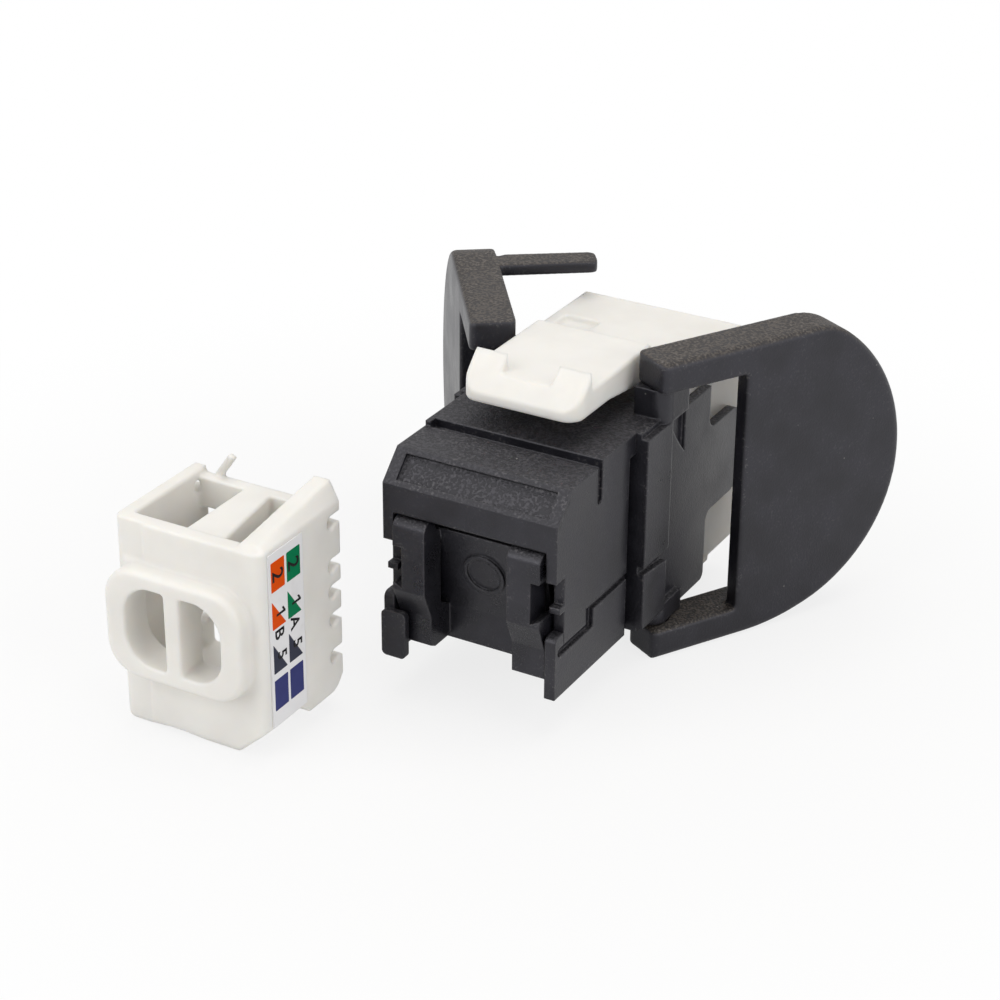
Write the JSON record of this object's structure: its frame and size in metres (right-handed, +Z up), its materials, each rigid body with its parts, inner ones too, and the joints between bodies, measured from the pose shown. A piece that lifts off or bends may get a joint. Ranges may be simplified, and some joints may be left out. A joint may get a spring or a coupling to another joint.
{
  "type": "keystone jack",
  "caption": "Black keystone jack for network cable, with a hinged port shutter, a white spring latch, D-shaped squeeze levers and a separate white wire manager beside it.",
  "frame": {"origin": "on the underside of the front housing, in the middle of its front face, where the jack seats in a panel opening", "axes": "+X to the right of someone facing the port, +Y into the port towards the cable end, +Z up"},
  "size_m": [0.0413, 0.0508, 0.0254],
  "materials": {
    "black_plastic": "fine-textured matte",
    "white_plastic": "smooth satin",
    "board": "solder mask",
    "contact_metal": "plated",
    "terminal_metal": "tin plated",
    "label": "printed film"
  },
  "bodies": {
    "jack": {"upper_housing": "black_plastic", "lower_housing": "black_plastic", "contact_carrier": "black_plastic", "circuit_board": "board", "terminal_block": "white_plastic", "rear_housing": "black_plastic", "rear_frame": "white_plastic", "wire_manager": "white_plastic", "wiring_label": "label", "contact_1": "contact_metal", "contact_2": "contact_metal", "contact_3": "contact_metal", "contact_4": "contact_metal", "contact_5": "contact_metal", "contact_6": "contact_metal", "contact_7": "contact_metal", "contact_8": "contact_metal", "terminal_1": "terminal_metal", "terminal_2": "terminal_metal", "terminal_3": "terminal_metal", "terminal_4": "terminal_metal", "terminal_5": "terminal_metal", "terminal_6": "terminal_metal", "terminal_7": "terminal_metal", "terminal_8": "terminal_metal"},
    "shutter": {"port_shutter": "black_plastic"},
    "right_squeeze_lever": {"right_lever": "black_plastic"},
    "left_squeeze_lever": {"left_lever": "black_plastic"}
  },
  "joints": [
    {"name": "shutter_swing", "type": "hinge", "parent": "jack", "child": "shutter", "pos_m": [0, 0.0008, 0.0109], "axis": [1, 0, 0], "range_deg": [0, 88]},
    {"name": "right_lever_turn", "type": "hinge", "parent": "jack", "child": "right_squeeze_lever", "pos_m": [0.0074, 0.0168, 0.009], "axis": [0, 0, 1], "range_deg": [-6.6, 22.4]},
    {"name": "left_lever_turn", "type": "hinge", "parent": "jack", "child": "left_squeeze_lever", "pos_m": [-0.0074, 0.0168, 0.009], "axis": [0, 0, 1], "range_deg": [-29, 0]}
  ]
}
